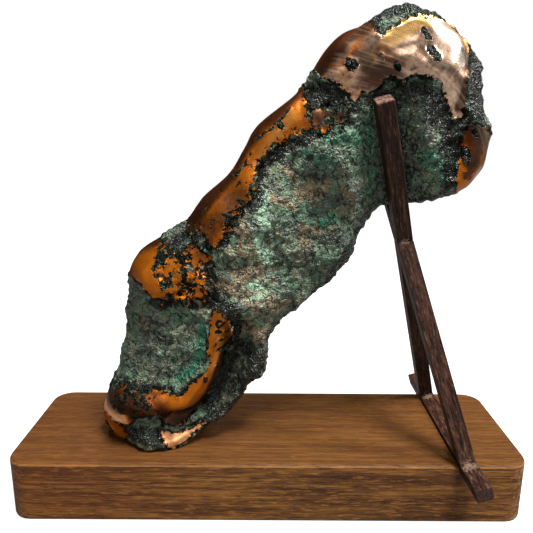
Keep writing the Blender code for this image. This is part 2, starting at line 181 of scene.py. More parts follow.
# Stains of the crust and the copper: strength, half width, and the X and Z points of the line that
# each follows on that face
FRONT_STAINS = {
    "crusted": [  # spots of crust left in the copper
        (0.9, 0.9, [(-23, 101), (-21, 100), (-21, 98), (-23, 97), (-24, 99), (-23, 101)]),
        (0.9, 1.2, [(-24, 95), (-22, 94)]),
        (0.9, 1.2, [(-21, 94), (-20, 93)]),
        (0.9, 1.2, [(-23, 90), (-21, 89)]),
        (0.8, 1.0, [(-25, 89), (-25, 87)]),
        (0.9, 1.7, [(-23, 84), (-21, 83)]),
        (0.8, 1.1, [(-25, 77), (-25, 75)]),
        (1.0, 1.2, [(-30, 70), (-30, 68)]),
        (1.0, 2.8, [(32, 214), (34, 213)]),
        (0.7, 1.8, [(44, 217), (46, 215)]),
        (0.45, 3.0, [(47, 208), (55, 208), (62, 210), (69, 206)]),
        (0.8, 1.6, [(50, 213), (52, 211)]),
        (1.0, 1.8, [(61, 226), (63, 223)]),
        (1.0, 2.4, [(64, 219), (67, 216)]),
        (0.7, 0.7, [(9, 196), (5, 192), (0, 187), (-6, 183)]),
        (0.5, 0.7, [(-7, 179), (-11, 172), (-14, 168)]),
        (0.9, 1.4, [(4, 190), (6, 188)]),
        (1.0, 1.5, [(86, 179), (87, 174)]),
        (0.9, 1.2, [(88, 187), (90, 184)]),
        (0.8, 1.5, [(-84, 38), (-80, 36)]),
    ],
    "soot_and_painted_shade": [  # brown dirt on the copper, and painted shade in the foot's groove and the recess right of the strip
        (0.9, 4.0, [(37, 217), (41, 212), (47, 210), (53, 207)]),
        (0.5, 3.0, [(27, 211), (32, 207)]),
        (0.5, 3.0, [(58, 213), (64, 210)]),
        (0.5, 3.0, [(60, 225), (66, 217)]),
        (0.8, 2.4, [(80, 219), (85, 210), (86, 198)]),
        (0.5, 3.0, [(24, 207), (34, 204), (44, 207)]),
        (0.4, 3.4, [(44, 208), (55, 210), (64, 210), (73, 203)]),
        (1.0, 3.0, [(88, 191), (91, 183), (90, 175), (88, 168)]),
        (0.7, 2.0, [(20, 208), (26, 217), (33, 224)]),
        (0.4, 7.0, [(-84, 57), (-76, 58), (-60, 58)]),
        # painted shade in the groove of the foot
        (1.0, 4.0, [(-36, 50), (-44, 43), (-56, 46), (-66, 50)]),
        # painted shade in the recess right of the strip
        (1.0, 2.2, [(-18, 86), (-21, 76), (-26, 64), (-32, 53), (-38, 46)]),
        (0.35, 7.0, [(-16, 156), (-26, 144), (-33, 134)]),
    ],
    "dull": [  # pale, worn and scratched copper
        (1.0, 14.0, [(48, 214), (58, 219), (70, 216), (79, 202)]),
        (0.5, 8.0, [(26, 207), (40, 210), (46, 210)]),
        (0.5, 3.0, [(27, 215), (33, 222), (38, 227)]),
        (0.9, 2.2, [(92, 188), (96, 181), (97, 174), (94, 167)]),
        (0.45, 5.0, [(20, 192), (28, 192)]),
        (0.45, 3.0, [(34, 203), (36, 198)]),
    ],
    "painted_highlight": [  # near-white copper that paints highlights: the crescent on the dome, the heel's edge and the strip's edge
        (1.0, 3.4, [(68, 228), (75, 223), (79, 216)]),
        (0.45, 2.8, [(-88, 55), (-84, 51), (-79, 47), (-74, 45)]),
        (0.6, 1.4, [(-16, 98), (-17, 91)]),
    ],
    "golden_and_painted_highlight": [  # yellow copper; along the dome's upper rim and the ridge beside it, a painted highlight
        (1.0, 4.0, [(48, 223), (57, 229), (66, 231), (77, 226), (82, 218)]),
        (0.7, 3.0, [(40, 215), (46, 221)]),
        (0.4, 3.0, [(-23, 98), (-23, 84), (-27, 70)]),
        (0.4, 5.0, [(9, 193), (1, 182), (-5, 172)]),
        (0.35, 4.0, [(-82, 40), (-76, 35)]),
    ],
    "black": [  # black crust; two lines are painted shade instead, beside the front stick and in the recess right of the strip
        (0.9, 9.0, [(-50, 128), (-42, 120), (-34, 118)]),
        (0.6, 5.0, [(50, 197), (62, 201), (72, 193)]),
        (0.6, 5.0, [(10, 190), (24, 197), (34, 197)]),
        (0.9, 6.0, [(-80, 58), (-64, 57), (-50, 54)]),
        (0.8, 5.0, [(-84, 38), (-76, 36)]),
        (0.9, 5.0, [(89, 212), (92, 200), (90, 191)]),
        (0.9, 4.0, [(80, 158), (88, 158)]),
        (1.0, 5.0, [(86, 178), (88, 187)]),
        (1.0, 5.0, [(-32, 40), (-24, 46), (-14, 52)]),
        (1.0, 4.0, [(-21, 78), (-23, 66), (-25, 58), (-31, 50)]),
        (0.36, 13.0, [(-66, 104), (-58, 88), (-66, 72)]),
        (0.7, 4.0, [(56, 151), (66, 153), (76, 156)]),
        (1.0, 4.0, [(38, 229), (45, 234), (53, 236), (62, 235), (70, 231), (77, 226), (82, 219)]),
        (1.0, 3.0, [(41, 226), (43, 221), (45, 224)]),
        (1.0, 5.5, [(14, 198), (20, 203), (28, 201), (34, 198)]),
        (0.8, 4.5, [(43, 199), (52, 201), (60, 204), (66, 203), (72, 198), (79, 190)]),
        (1.0, 5.0, [(84, 217), (88, 206), (89, 197), (85, 191)]),
        (0.9, 4.0, [(80, 188), (82, 179), (80, 171), (82, 165)]),
        (1.0, 3.2, [(24, 188), (13, 182), (6, 180), (0, 175), (-4, 169)]),
        (1.0, 4.6, [(-7, 156), (-6, 159)]),
        (1.0, 1.2, [(34, 190), (35, 190)]),
        (0.9, 3.4, [(-13, 154), (-16, 147), (-21, 139), (-28, 136)]),
        (0.8, 3.6, [(-33, 140), (-41, 137), (-47, 135)]),
        (0.9, 3.6, [(-49, 131), (-44, 128), (-39, 128)]),
        (0.8, 3.4, [(-54, 109), (-49, 106), (-43, 111)]),
        (0.9, 4.5, [(-25, 110), (-17, 106), (-14, 96)]),
        (1.0, 4.2, [(-73, 39), (-63, 40), (-56, 38), (-52, 34)]),
        (0.8, 3.6, [(-84, 64), (-70, 66), (-62, 63), (-58, 64)]),
        (0.9, 3.0, [(-32, 71), (-38, 65), (-43, 60)]),
        (0.8, 7.0, [(-9, 82), (-4, 76), (-8, 68), (-15, 58)]),
        # painted shade in the recess right of the strip
        (0.9, 2.6, [(-15, 92), (-15, 84), (-18, 74), (-22, 64), (-27, 54)]),
        (0.8, 3.0, [(40, 128), (28, 114), (12, 99), (2, 90)]),
        (0.7, 4.0, [(43, 141), (38, 133), (32, 123)]),
        (0.8, 3.0, [(52, 150), (58, 153)]),
        # painted shade beside the front stick on the head
        (0.8, 5.0, [(54, 191), (57, 179), (62, 160)]),
        (0.8, 5.0, [(68, 194), (74, 190), (78, 182)]),
    ],
    "mint": [  # pale green crust
        (0.8, 1.6, [(31, 190), (32, 193), (35, 193), (38, 190), (36, 187), (32, 187), (31, 190)]),
        (0.7, 3.5, [(29, 196), (36, 198), (41, 195)]),
        (0.6, 3.2, [(31, 191), (35, 189), (38, 192)]),
        (1.2, 3.0, [(-6, 166), (-3, 158), (-3, 151), (-1, 146)]),
        (0.9, 3.6, [(-4, 144), (-4, 136), (0, 130)]),
        (0.5, 3.0, [(-14, 149), (-16, 151)]),
        (0.7, 3.4, [(-6, 119), (-3, 114), (-7, 111)]),
        (0.5, 3.4, [(-3, 110), (5, 112)]),
        (0.6, 3.2, [(28, 132), (31, 133)]),
        (0.6, 1.8, [(-58, 85), (-57, 87)]),
        (0.6, 3.0, [(-21, 108), (-17, 112)]),
        (0.4, 5.0, [(14, 150), (10, 147)]),
        (0.5, 3.0, [(82, 161), (79, 158)]),
    ],
    "emerald": [  # strong green crust
        (1.0, 2.4, [(-31, 98), (-31, 88), (-33, 80), (-37, 74), (-43, 69)]),
        (0.6, 3.0, [(-56, 109), (-49, 106)]),
        (0.6, 2.5, [(-41, 115), (-38, 110)]),
        (0.6, 6.0, [(22, 186), (30, 184), (40, 185)]),
        (0.4, 5.0, [(38, 171), (45, 167), (44, 161)]),
        (0.6, 2.5, [(24, 146), (30, 148)]),
        (0.8, 2.5, [(86, 193), (89, 192)]),
        (0.6, 5.0, [(69, 176), (76, 172), (79, 166)]),
        (0.4, 6.0, [(13, 177), (26, 173)]),
        (0.4, 3.0, [(56, 188), (64, 186)]),
        (0.4, 5.0, [(-8, 140), (-6, 134)]),
    ],
    "tan": [  # earthy crust
        (1.0, 5.0, [(-14, 147), (-10, 141), (-9, 135)]),
        (0.8, 2.0, [(8, 170), (12, 166)]),
        (1.0, 3.4, [(14, 159), (19, 161), (24, 163)]),
        (0.7, 3.0, [(1, 159), (7, 156)]),
        (0.7, 3.0, [(9, 155), (13, 152)]),
        (0.9, 2.4, [(15, 145), (17, 137)]),
        (0.7, 2.4, [(19, 144), (23, 142)]),
        (1.0, 5.0, [(-14, 123), (-7, 122)]),
        (0.8, 5.0, [(-21, 119), (-16, 115)]),
        (0.9, 5.5, [(-8, 112), (-1, 109), (6, 106)]),
        (0.9, 4.5, [(-10, 94), (-3, 89)]),
        (0.7, 3.0, [(-62, 96), (-57, 94)]),
        (0.7, 3.0, [(34, 161), (39, 157)]),
        (0.5, 4.0, [(-3, 129), (3, 125)]),
    ],
    "pink": [  # copper laid bare not long ago; along the strip's right edge, a painted highlight
        (1.0, 5.0, [(-88, 56), (-82, 50), (-74, 46)]),
        (1.0, 6.0, [(-54, 39), (-46, 36), (-34, 42)]),
        # painted highlight along the strip's right edge
        (1.0, 2.0, [(-17, 99), (-16, 90)]),
        (0.7, 6.0, [(24, 208), (36, 205), (46, 207)]),
        (0.35, 7.0, [(-16, 156), (-26, 145)]),
        (0.5, 6.0, [(20, 192), (28, 192)]),
    ],
    "tarnish_and_painted_shade": [  # dark brown copper, and painted shade in the recess right of the strip
        (1.0, 8.0, [(17, 212), (22, 219), (28, 226), (38, 232)]),
        (1.0, 7.5, [(12, 206), (0, 197), (-11, 187), (-18, 175)]),
        (1.0, 7.5, [(-21, 169), (-29, 159), (-37, 151), (-39, 144)]),
        (0.55, 8.0, [(-14, 160), (-24, 147), (-32, 133)]),
        (1.0, 5.0, [(-52, 139), (-62, 135), (-69, 128), (-69, 120)]),
        (0.9, 10.0, [(-82, 58), (-64, 58), (-56, 52)]),
        (0.8, 6.0, [(20, 192), (28, 192)]),
        (0.5, 3.0, [(35, 203), (36, 198)]),
        (0.6, 4.0, [(-54, 39), (-46, 36), (-34, 42)]),
        (1.0, 3.6, [(86, 190), (89, 182), (88, 174)]),
        (0.9, 2.6, [(83, 214), (82, 206), (81, 197)]),
        (0.8, 2.0, [(99, 186), (102, 176), (99, 166)]),
        (0.4, 6.0, [(92, 186), (94, 172)]),
        # painted shade in the recess right of the strip
        (1.0, 2.2, [(-20, 84), (-24, 72), (-30, 57), (-36, 48), (-50, 41)]),
        (0.6, 4.0, [(84, 187), (86, 178)]),
        (0.7, 6.0, [(40, 207), (50, 212), (44, 218)]),
    ],
}
BACK_STAINS = {
    "crusted": [(1.0, 1.5, [(50, 218), (53, 216)]), (1.0, 1.2, [(-60, 128), (-58, 126)])],
    "soot_and_painted_shade": [(0.8, 5.0, [(28, 208), (52, 204), (74, 206)]), (0.7, 5.0, [(-76, 56), (-60, 48)])],
    "dull": [(1.0, 15.0, [(44, 212), (70, 212)])],
    "golden_and_painted_highlight": [(0.8, 4.0, [(48, 227), (70, 227)])],
    "painted_highlight": [(0.8, 3.0, [(56, 220), (66, 214)])],
    "black": [
        (0.8, 8.0, [(20, 200), (40, 194), (66, 192), (82, 186)]),
        (1.0, 6.0, [(82, 224), (89, 210), (91, 196)]),
        (0.9, 5.0, [(24, 228), (40, 235), (60, 238), (78, 229)]),
        (0.9, 4.0, [(16, 208), (0, 198), (-14, 184), (-34, 162), (-42, 148)]),
        (0.8, 4.0, [(84, 156), (66, 150), (46, 134), (24, 104), (4, 84)]),
        (0.8, 6.0, [(-62, 104), (-46, 108), (-34, 128)]),
        (0.8, 7.0, [(-80, 66), (-58, 66), (-40, 54)]),
    ],
    "mint": [(0.8, 5.0, [(-20, 128), (-4, 142), (12, 150)]), (0.6, 5.0, [(50, 176), (62, 168)])],
    "emerald": [(0.7, 6.0, [(-50, 84), (-30, 98)]), (0.6, 7.0, [(28, 150), (44, 166)])],
    "tan": [(0.9, 7.0, [(-8, 118), (8, 126)]), (0.8, 6.0, [(30, 182), (44, 180)])],
    "pink": [(1.0, 8.0, [(-84, 44), (-64, 46)])],
    "tarnish_and_painted_shade": [(0.8, 7.0, [(14, 206), (-10, 186)]), (0.8, 6.0, [(-60, 132), (-62, 116)])],
}

# Fine scratches of the copper run round a centre, and drift across their circles at this slope
SCRATCH_CENTRE = (30, -10, 160)
SCRATCH_SLOPE = (0.08, 0, 0.12)

# Prop: the lean of its plane, the turn of each piece within that plane, and the glue about its joints,
# as the middle and the reach of each smear
PROP_LEAN = math.radians(-16.3)
PROP_TURNS = {
    "front_foot_stick": math.radians(14.4),
    "back_foot_stick": math.radians(-22.4),
    "foot_bar": math.radians(90),
}
GLUED_JOINTS = [((95, -43, 34.5), 5.0), ((95, 27, 34.5), 4.0), ((65, -13, 136), 2.6)]

# Camera
CAMERA_PLACE = (-0.57, -272.79, 187.19)
CAMERA_DOWN = math.radians(13.86)
CAMERA_LEFT = math.radians(0.058)
CAMERA_ROLL = math.radians(0.292)
CAMERA_SENSOR = 36
CAMERA_LENS = 37.43

# Floor
FLOOR_REACH = 6000
FLOOR_DROP = 0.2  # keeps it clear of the block's underside


def screen_rgb(red, green, blue):
    """A colour given as it shows on a screen, 0 to 255, as Blender's linear values."""
    levels = np.array([red, green, blue]) / 255
    linear = np.where(levels <= 0.04045, levels / 12.92, ((levels + 0.055) / 1.055) ** 2.4)
    return (*linear.tolist(), 1.0)


# Crust's colours
GREY_CRUST = screen_rgb(77, 84, 73)
GREEN_CRUST = screen_rgb(80, 110, 87)
OLIVE_PLATE = screen_rgb(118, 116, 90)
PALE_DRIFT = screen_rgb(124, 140, 116)
EARTHY_TAN = screen_rgb(124, 108, 84)
EMERALD = screen_rgb(38, 118, 88)
MINT = screen_rgb(140, 176, 148)
# painted highlight on the crust's ridges
RIDGE_PAINTED_HIGHLIGHT = screen_rgb(158, 174, 150)
BLACK_CRUST = screen_rgb(18, 19, 18)
# painted shade in the crust's pits
PIT_PAINTED_SHADE = screen_rgb(12, 14, 12)

# Copper's colours
DEEP_COPPER = screen_rgb(163, 88, 5)
CLEAN_COPPER = screen_rgb(183, 108, 12)
PINK_COPPER = screen_rgb(244, 176, 118)
WORN_COPPER = screen_rgb(160, 130, 110)
PALE_COPPER = screen_rgb(212, 180, 154)
# yellow copper, partly a painted highlight on the dome's rim and ridge
GOLDEN_COPPER_AND_PAINTED_HIGHLIGHT = screen_rgb(238, 186, 108)
# near-white copper used as a painted highlight
PAINTED_HIGHLIGHT_COPPER = screen_rgb(255, 238, 218)
# dark brown tarnish, also used as painted shade in the strip's recess
TARNISH_AND_PAINTED_SHADE = screen_rgb(68, 34, 14)
# brown dirt, also used as painted shade in the foot's groove and the strip's recess
SOOT_AND_PAINTED_SHADE = screen_rgb(58, 41, 34)
DARK_SCRATCH = screen_rgb(96, 74, 62)
LIGHT_SCRATCH = screen_rgb(236, 208, 182)

# Block's colours
BLOCK_DARK = screen_rgb(74, 43, 17)
BLOCK_WARM = screen_rgb(114, 74, 34)
BLOCK_STREAK = screen_rgb(48, 24, 9)
BLOCK_GOLD = screen_rgb(142, 98, 44)
BLOCK_PORE = screen_rgb(36, 18, 7)
BLOCK_FLECK = screen_rgb(160, 114, 62)
BLOCK_RED = screen_rgb(110, 52, 18)
# painted shade on the block's top face
BLOCK_TOP_PAINTED_SHADE = screen_rgb(73, 44, 18)
# painted highlight along the block's upper edge
BLOCK_EDGE_PAINTED_HIGHLIGHT = screen_rgb(150, 108, 62)

# Prop's colours
PROP_DARK = screen_rgb(34, 19, 13)
PROP_BROWN = screen_rgb(59, 36, 26)
PROP_PORE = screen_rgb(14, 8, 6)
PROP_FLECK = screen_rgb(101, 74, 60)
PROP_END_SPECK = screen_rgb(40, 24, 19)
PALE_END = screen_rgb(122, 94, 80)
DARK_END = screen_rgb(66, 46, 38)
GLUE = screen_rgb(112, 92, 78)

# Sockets of a Mix node of colours
MIX_SHARE, MIX_PLAIN, MIX_CHANGED, MIX_RESULT = 0, 6, 7, 2


class Value:
    """An output of a node. Arithmetic on it adds the Math nodes."""

    def __init__(self, finish, socket):
        self.finish = finish
        self.socket = socket

    def __add__(self, other):
        return self.finish.math("ADD", self, other)

    def __radd__(self, other):
        return self.finish.math("ADD", other, self)

    def __sub__(self, other):
        return self.finish.math("SUBTRACT", self, other)

    def __rsub__(self, other):
        return self.finish.math("SUBTRACT", other, self)

    def __mul__(self, other):
        return self.finish.math("MULTIPLY", self, other)

    def __rmul__(self, other):
        return self.finish.math("MULTIPLY", other, self)

    def __truediv__(self, other):
        return self.finish.math("DIVIDE", self, other)

    def __rtruediv__(self, other):
        return self.finish.math("DIVIDE", other, self)

    def __abs__(self):
        return self.finish.math("ABSOLUTE", self)

    def highest(self, other):
        return self.finish.math("MAXIMUM", self, other)

    def step(self, low, high):
        """0 below low, 1 above high, smooth between them. low may be the larger."""
        ends = {"Value": self, "From Min": low, "From Max": high}
        return self.finish.node("ShaderNodeMapRange", {"interpolation_type": "SMOOTHSTEP"}, ends)


class Finish:
    """The nodes of a material or a world that is being made, and the shader that they feed."""

    def __init__(self, owner, shader="Principled BSDF"):
        owner.use_nodes = True
        self.owner = owner
        self.tree = owner.node_tree
        self.shader = self.tree.nodes[shader]

    def node(self, kind, settings, sockets, output=0):
        """Adds a node: its type, its settings, the values or links of its sockets. Gives an output."""
        made = self.tree.nodes.new(kind)
        for name, value in settings.items():
            setattr(made, name, value)
        self.fill(made, sockets)
        return Value(self, made.outputs[output])

    def fill(self, made, sockets):
        for name, value in sockets.items():
            if isinstance(value, Value):
                self.tree.links.new(value.socket, made.inputs[name])
            else:
                made.inputs[name].default_value = value

    def done(self, **sockets):
        """Fills the shader's sockets, named with _ for each space. Gives the material or world."""
        self.fill(self.shader, {name.replace("_", " "): value for name, value in sockets.items()})
        return self.owner

    def math(self, operation, *values):
        return self.node("ShaderNodeMath", {"operation": operation}, dict(enumerate(values)))

    def vector_math(self, operation, *values, output="Vector"):
        return self.node("ShaderNodeVectorMath", {"operation": operation}, dict(enumerate(values)), output)

    def mix(self, share, plain, changed):
        """The plain colour where share is 0, the changed one where it is 1."""
        sockets = {MIX_SHARE: share, MIX_PLAIN: plain, MIX_CHANGED: changed}
        return self.node("ShaderNodeMix", {"data_type": "RGBA"}, sockets, MIX_RESULT)

    def place(self):
        """Where a point is, in millimetres in the frame."""
        metres = self.node("ShaderNodeTexCoord", {}, {}, "Object")
        return self.node("ShaderNodeVectorMath", {"operation": "SCALE"}, {0: metres, "Scale": 1 / MM})

    def part(self, vector, axis):
        """A vector's share along an axis: X, Y or Z."""
        return self.node("ShaderNodeSeparateXYZ", {}, {0: vector}, axis)

    def normal(self):
        return self.node("ShaderNodeNewGeometry", {}, {}, "Normal")

    def distance(self, place, centre):
        return self.vector_math("DISTANCE", place, centre, output="Value")

    def along(self, place, axis):
        return self.vector_math("DOT_PRODUCT", place, tuple(axis), output="Value")

    def cloud(self, place, size, detail=2.0, roughness=0.5, distortion=0.0, output=0):
        """Soft noise, 0 to 1, with features of about this size."""
        sockets = {
            "Vector": place,
            "Scale": 1 / size,
            "Detail": detail,
            "Roughness": roughness,
            "Distortion": distortion,
        }
        return self.node("ShaderNodeTexNoise", {}, sockets, output)

    def cells(self, place, size, feature="F1", output="Distance"):
        """Distance to the middle of the nearest cell, in cell sizes, or another output of the cells."""
        sockets = {"Vector": place, "Scale": 1 / size}
        return self.node("ShaderNodeTexVoronoi", {"feature": feature}, sockets, output)

    def stirred(self, place, size, amount):
        """The place, moved about by soft noise by up to about this many millimetres."""
        stir = self.cloud(place, size, detail=1.0, output="Color")
        return self.vector_math("MULTIPLY_ADD", stir, (amount, amount, amount), place)

    def measure(self, name):
        """A measure that the mesh carries at its points."""
        return self.node("ShaderNodeAttribute", {"attribute_name": name}, {}, "Fac")

    def bump(self, height, depth):
        """A normal bent by a height that runs from 0 to 1 over depth millimetres."""
        return self.node("ShaderNodeBump", {}, {"Height": height, "Distance": depth * MM})


# ---------------------------------------------------------------------------- nugget's mesh


def smooth_step(low, high, value):
    """0 below low, 1 above high, smooth between them."""
    t = np.clip((value - low) / (high - low), 0, 1)
    return t * t * (3 - 2 * t)


def remeshed(node, name):
    """A new object with a node's shape on an even grid."""
    shape = bmesh.new()
    shape.from_mesh(node.data)
    bmesh.ops.remove_doubles(shape, verts=shape.verts, dist=0.001 * MM)
    mesh = bpy.data.meshes.new(name)
    shape.to_mesh(mesh)
    shape.free()
    made = bpy.data.objects.new(name, mesh)
    bpy.context.scene.collection.objects.link(made)
    grid = made.modifiers.new("even grid", "REMESH")
    grid.mode = "VOXEL"
    grid.voxel_size = SKIN_GRID * MM
    graph = bpy.context.evaluated_depsgraph_get()
    made.data = bpy.data.meshes.new_from_object(made.evaluated_get(graph))
    made.modifiers.clear()
    return made


def mesh_points(mesh):
    """The mesh's points, in millimetres."""
    points = np.empty(len(mesh.vertices) * 3, np.float32)
    mesh.vertices.foreach_get("co", points)
    return points.reshape(-1, 3).astype(float) / MM


def set_points(mesh, points):
    mesh.vertices.foreach_set("co", (points * MM).astype(np.float32).ravel())
    mesh.update()


def mesh_edges(mesh):
    edges = np.empty(len(mesh.edges) * 2, np.int32)
    mesh.edges.foreach_get("vertices", edges)
    return edges.reshape(-1, 2)


def mesh_normals(mesh):
    normals = np.empty(len(mesh.vertices) * 3, np.float32)
    mesh.vertices.foreach_get("normal", normals)
    return normals.reshape(-1, 3).astype(float)


def smoothed(points, edges, rounds, share=None):
    """Eases each point towards its neighbours and back out, by its own share where one is given."""
    ends = np.concatenate([edges, edges[:, ::-1]])
    count = np.bincount(ends[:, 0], minlength=len(points))[:, None]
    weight = 1.0 if share is None else share[:, None]
    for _ in range(rounds):
        for amount in (EASE_IN, EASE_OUT):
            total = np.column_stack(
                [np.bincount(ends[:, 0], points[ends[:, 1], axis], len(points)) for axis in range(3)]
            )
            points = points + weight * amount * (total / count - points)
    return points


def distance_to_line(flat, line):
    """How far each X, Z point is from a line through these corners."""
    corners = np.array(line, float)
    nearest = np.full(len(flat), np.inf)
    for start, end in zip(corners[:-1], corners[1:]):
        run = end - start
        along = np.clip((flat - start) @ run / (run @ run), 0, 1)
        nearest = np.minimum(nearest, np.linalg.norm(flat - start - np.outer(along, run), axis=1))
    return nearest


def inside_depth(flat, outline):
    """How far each X, Z point lies inside an outline. It is negative outside."""
    closed = np.array(outline + outline[:1], float)
    inside = np.zeros(len(flat), bool)
    for start, end in zip(closed[:-1], closed[1:]):
        run = end - start
        if run[1]:
            crossing = start[0] + (flat[:, 1] - start[1]) / run[1] * run[0]
            between = (start[1] > flat[:, 1]) != (end[1] > flat[:, 1])
            inside ^= between & (flat[:, 0] < crossing)
    nearest = distance_to_line(flat, closed)
    return np.where(inside, nearest, -nearest)


def patch_measure(flat, patches):
    """How deep each X, Z point lies in the patches, in widths of their ragged borders."""
    value = np.full(len(flat), -POLISH_LIMIT)
    for ragged, fullness, outline in patches:
        depth = np.clip(inside_depth(flat, outline) / ragged, -POLISH_LIMIT, fullness)
        value = np.maximum(value, depth)
    return value


def stain_measure(flat, lines):
    """How strong the stain is at each X, Z point."""
    value = np.zeros(len(flat))
    for strength, half_width, line in lines:
        away = distance_to_line(flat, line) / half_width
        value = np.maximum(value, strength * np.exp(-(away**STAIN_EDGE)))
    return value


def nugget_measures(flat, behind):
    """The polish measure and each stain's strength at X, Z points. behind is 1 on the back, 0 in front."""
    polish = patch_measure(flat, FRONT_POLISHED) * (1 - behind)
    polish += patch_measure(flat, BACK_POLISHED) * behind
    stains = {
        name: stain_measure(flat, lines) * (1 - behind) + stain_measure(flat, BACK_STAINS[name]) * behind
        for name, lines in FRONT_STAINS.items()
    }
    polish -= CRUSTED_DEPTH * stains["crusted"]
    return polish, stains


def noise_layer(points, size):
    return np.array([noise.noise(Vector(point)) for point in (points / size).tolist()])


def cell_layer(points, size):
    """Distance to the middle of the nearest cell."""
    return np.array([noise.voronoi(Vector(point))[0][0] for point in (points / size).tolist()])


def crust_relief(points):
    """The crust's height at each point, in millimetres."""
    lumps = LUMPS[0] * noise_layer(points, LUMPS[1])
    folds = FOLDS[0] * (FOLD_LEVEL - np.abs(noise_layer(points + FOLD_SHIFT, FOLDS[1])))
    pebbles = PEBBLES[0] * (PEBBLE_LEVEL - cell_layer(points, PEBBLES[1]))
    grain = GRAIN[0] * noise_layer(points, GRAIN[1])
    return lumps + folds + pebbles + grain


def keep_clear_of_sticks(points, before):
    """Pulls back what would come nearer to a stick than the clearance."""
    for name in ("front_foot_stick", "back_foot_stick"):
        low, high = (np.array(corner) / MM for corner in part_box(name))
        near = ((points > low - STICK_MARGIN) & (points < high + STICK_MARGIN)).all(axis=1)
        shape = bmesh.new()
        shape.from_mesh(NODES[name].data)
        tree = BVHTree.FromBMesh(shape)
        for index in np.where(near)[0]:
            point = Vector(points[index] * MM)
            place, normal, _, _ = tree.find_nearest(point)
            if (point - place).dot(normal) < STICK_CLEARANCE * MM:
                points[index] = before[index]
        shape.free()
    return points


def make_nugget():
    nugget = remeshed(NODES["nugget"], "copper_nugget")
    mesh = nugget.data
    edges = mesh_edges(mesh)
    points = smoothed(mesh_points(mesh), edges, SKIN_SMOOTHING)
    set_points(mesh, points)
    normals = mesh_normals(mesh)
    behind = smooth_step(*FRONT_FADE, normals[:, 1])
    polish, stains = nugget_measures(points[:, [0, 2]], behind)
    polished = smooth_step(*POLISHED_BORDER, polish)

    before = smoothed(points, edges, POLISH_SMOOTHING, polished)
    relief = crust_relief(before)
    points = before + normals * (relief * (1 - polished) - POLISH_SUNK * polished)[:, None]
    points = keep_clear_of_sticks(points, before)
    points[:, 2] = np.maximum(points[:, 2], BLOCK_TOP + FOOT_CLEARANCE)
    set_points(mesh, points)

    for name, values in {"polish": polish, "relief": relief, **stains}.items():
        layer = mesh.attributes.new(name, "FLOAT", "POINT")
        layer.data.foreach_set("value", values.astype(np.float32))
    mesh.shade_smooth()
    dress(nugget, copper_and_crust())
    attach(nugget, "root")
    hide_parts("nugget")


# ---------------------------------------------------------------------------- finishes


def new_finish(name):
    return Finish(bpy.data.materials.new(name))


def dress(piece, material):
    piece.data.materials.clear()
    piece.data.materials.append(material)


def crust(skin, place, polish, blots, drift):
    """The crust's colour, with painted shade in its pits and a painted highlight on its ridges, how black
    it is, and its fine relief, 0 in the pits to 1 on the ridges.
    """
    wrinkles = 1 - abs(skin.cloud(place, 4.4, detail=1.0, distortion=1.2) * 2 - 1) * 3.2
    fibres = 1 - abs(skin.cloud(place, 2.3, detail=1.0, distortion=1.6) * 2 - 1) * 3.0
    crumbs = 1 - skin.cells(place, 1.9)
    rough = wrinkles * 0.4 + fibres * 0.4 + crumbs * 0.2
    bent = skin.stirred(place, 5.0, 7.0)
    cracks = skin.cells(bent, 7.0, "DISTANCE_TO_EDGE").step(0.09, 0.0)
    plates = skin.cells(bent, 7.0, "F1", "Color")
    height = rough - cracks * 0.5
    relief = skin.measure("relief").step(-0.9, 0.9)

    patches = skin.cloud(place, 8.0, 4.0, 0.65, 0.5)
    colour = skin.mix(patches.step(0.42, 0.6), GREY_CRUST, GREEN_CRUST)
    colour = skin.mix((plates + (drift - 0.5) * 1.5).step(0.4, 0.9) * 0.6, colour, OLIVE_PLATE)
    colour = skin.mix(drift.step(0.56, 0.7) * 0.4, colour, PALE_DRIFT)
    tan = (skin.measure("tan") + (plates - 0.5) * 0.7 + (drift - 0.5)).step(0.4, 0.5)
    colour = skin.mix(tan * 0.85, colour, EARTHY_TAN)
    emerald = (skin.measure("emerald") + (drift - 0.5) * 2.4).step(0.3, 0.7)
    colour = skin.mix(emerald * 0.85, colour, EMERALD)
    mint = (skin.measure("mint") * 0.9 + (drift - 0.5) * 2.6).step(0.35, 0.75)
    colour = skin.mix(mint * 0.8, colour, MINT)
    # painted highlight: paler colour on the crust's raised grain and relief
    ridges = (rough + relief * 0.16).step(0.78, 1.08)
    colour = skin.mix(ridges * 0.6, colour, RIDGE_PAINTED_HIGHLIGHT)

    border = polish.step(-1.45, -0.7) * blots.step(0.34, 0.54).highest(polish.step(-0.5, 0.1)) * 0.85
    black = skin.measure("black").highest(border).highest(skin.measure("crusted"))
    black = (black + (drift - 0.5) * 1.8).step(0.3, 0.7)
    colour = skin.mix(black * 0.93, colour, BLACK_CRUST)
    # painted shade: near-black colour in the low places of the grain and relief
    pits = (height + relief * 0.2).step(0.48, 0.06)
    colour = skin.mix(pits * 0.8, colour, PIT_PAINTED_SHADE)
    return colour, black, height


def scratched(skin, place):
    """Fine scratches that run round a centre, as noise from 0 to 1."""
    away = skin.distance(place, SCRATCH_CENTRE)
    level = skin.along(place, SCRATCH_SLOPE)
    around = skin.node("ShaderNodeCombineXYZ", {}, {0: away, 1: level})
    return skin.cloud(around, 1.0, detail=1.0)


